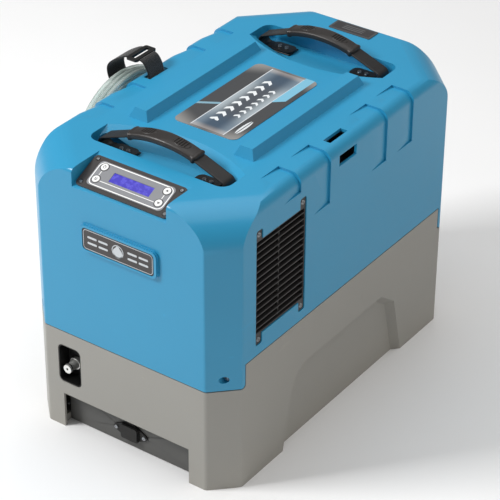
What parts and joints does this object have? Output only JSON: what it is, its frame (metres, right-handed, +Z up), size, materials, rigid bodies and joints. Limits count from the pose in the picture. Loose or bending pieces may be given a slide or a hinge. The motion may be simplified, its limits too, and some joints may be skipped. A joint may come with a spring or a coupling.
{
  "type": "portable dehumidifier",
  "caption": "Portable refrigerant dehumidifier with a moulded two-part case, sloped control panel, arched hand grips, side outlet grille and a strapped drain hose.",
  "frame": {"origin": "on the floor under the middle of the case's footprint", "axes": "+Z up; the control panel, drain outlet and power inlet look towards -Y; the outlet grille is on the +X side and the hose strap on the -X side"},
  "size_m": [0.41, 0.595, 0.477],
  "materials": {
    "case_blue": "fine-textured moulded plastic",
    "base_grey": "fine-textured moulded plastic",
    "tray": "satin",
    "black_plastic": "satin",
    "grip": "soft moulded",
    "webbing": "woven",
    "steel": "plain",
    "overlay": "printed film",
    "lcd": "backlit",
    "button_white": "satin",
    "label": "printed film",
    "hose": "clear flexible",
    "copper": "bare tube",
    "alu": "mill",
    "compressor": "satin",
    "rubber": "moulded",
    "motor": "satin",
    "tank": "translucent",
    "filter": "pleated",
    "pcb": "circuit board"
  },
  "bodies": {
    "case": {"base_shell": "base_grey", "chassis_tray": "tray", "tray_screws": "steel", "top_shroud": "case_blue", "shroud_screws": "steel", "control_bezel": "black_plastic", "control_overlay": "overlay", "lcd_window": "lcd", "panel_screws": "steel", "panel_board": "pcb", "front_badge": "black_plastic", "top_label": "label", "rear_plate": "label", "front_strap": "webbing", "rear_strap": "webbing", "handle_plates": "black_plastic", "handle_screws": "steel", "hose_strap": "webbing", "strap_tail": "webbing", "strap_buckle": "black_plastic", "hose_coil": "hose", "hose_tail": "hose", "hose_connector": "steel", "outlet_grille": "black_plastic", "intake_grille": "black_plastic", "grille_screws": "steel", "filter_frame": "black_plastic", "filter_media": "filter", "evaporator": "alu", "condenser": "alu", "coil_frame": "steel", "drip_pan": "black_plastic", "compressor": "compressor", "compressor_grommets": "rubber", "accumulator": "compressor", "suction_line": "copper", "discharge_line": "copper", "liquid_line": "copper", "blower_housing": "black_plastic", "fan_motor": "motor", "outlet_duct": "black_plastic", "pump_tank": "tank", "water_pump": "black_plastic", "pump_tube": "hose", "electrical_box": "tray", "power_board": "pcb", "drain_cup": "black_plastic", "drain_coupler": "steel", "drain_oring": "rubber", "power_inlet": "black_plastic", "inlet_screws": "steel"},
    "power_button": {"button_power": "button_white"},
    "mode_button": {"button_mode": "button_white"},
    "up_button": {"button_up": "button_white"},
    "down_button": {"button_down": "button_white"},
    "wheel": {"blower_wheel": "black_plastic"},
    "front_hand_grip": {"front_grip": "grip"},
    "rear_hand_grip": {"rear_grip": "grip"},
    "float": {"pump_float": "tank"},
    "cap": {"inlet_cap": "black_plastic"}
  },
  "joints": [
    {"name": "power_button_press", "type": "slide", "parent": "case", "child": "power_button", "axis": [0, 0.4099, -0.9121], "range_m": [0, 0.001], "stiffness_N_per_m": 300},
    {"name": "mode_button_press", "type": "slide", "parent": "case", "child": "mode_button", "axis": [0, 0.4099, -0.9121], "range_m": [0, 0.001], "stiffness_N_per_m": 300},
    {"name": "up_button_press", "type": "slide", "parent": "case", "child": "up_button", "axis": [0, 0.4099, -0.9121], "range_m": [0, 0.001], "stiffness_N_per_m": 300},
    {"name": "down_button_press", "type": "slide", "parent": "case", "child": "down_button", "axis": [0, 0.4099, -0.9121], "range_m": [0, 0.001], "stiffness_N_per_m": 300},
    {"name": "wheel_spin", "type": "hinge", "parent": "case", "child": "wheel", "pos_m": [-0.04, -0.172, 0.305], "axis": [0, 1, 0], "continuous": true},
    {"name": "front_grip_lift", "type": "slide", "parent": "case", "child": "front_hand_grip", "axis": [0, 0, 1], "range_m": [0, 0.018], "stiffness_N_per_m": 300, "deforming": ["front_strap"]},
    {"name": "rear_grip_lift", "type": "slide", "parent": "case", "child": "rear_hand_grip", "axis": [0, 0, 1], "range_m": [0, 0.018], "stiffness_N_per_m": 300, "deforming": ["rear_strap"]},
    {"name": "float_rise", "type": "slide", "parent": "case", "child": "float", "axis": [0, 0, 1], "range_m": [0, 0.012]},
    {"name": "cap_pull", "type": "slide", "parent": "case", "child": "cap", "axis": [0, -1, 0], "range_m": [0, 0.015]}
  ]
}
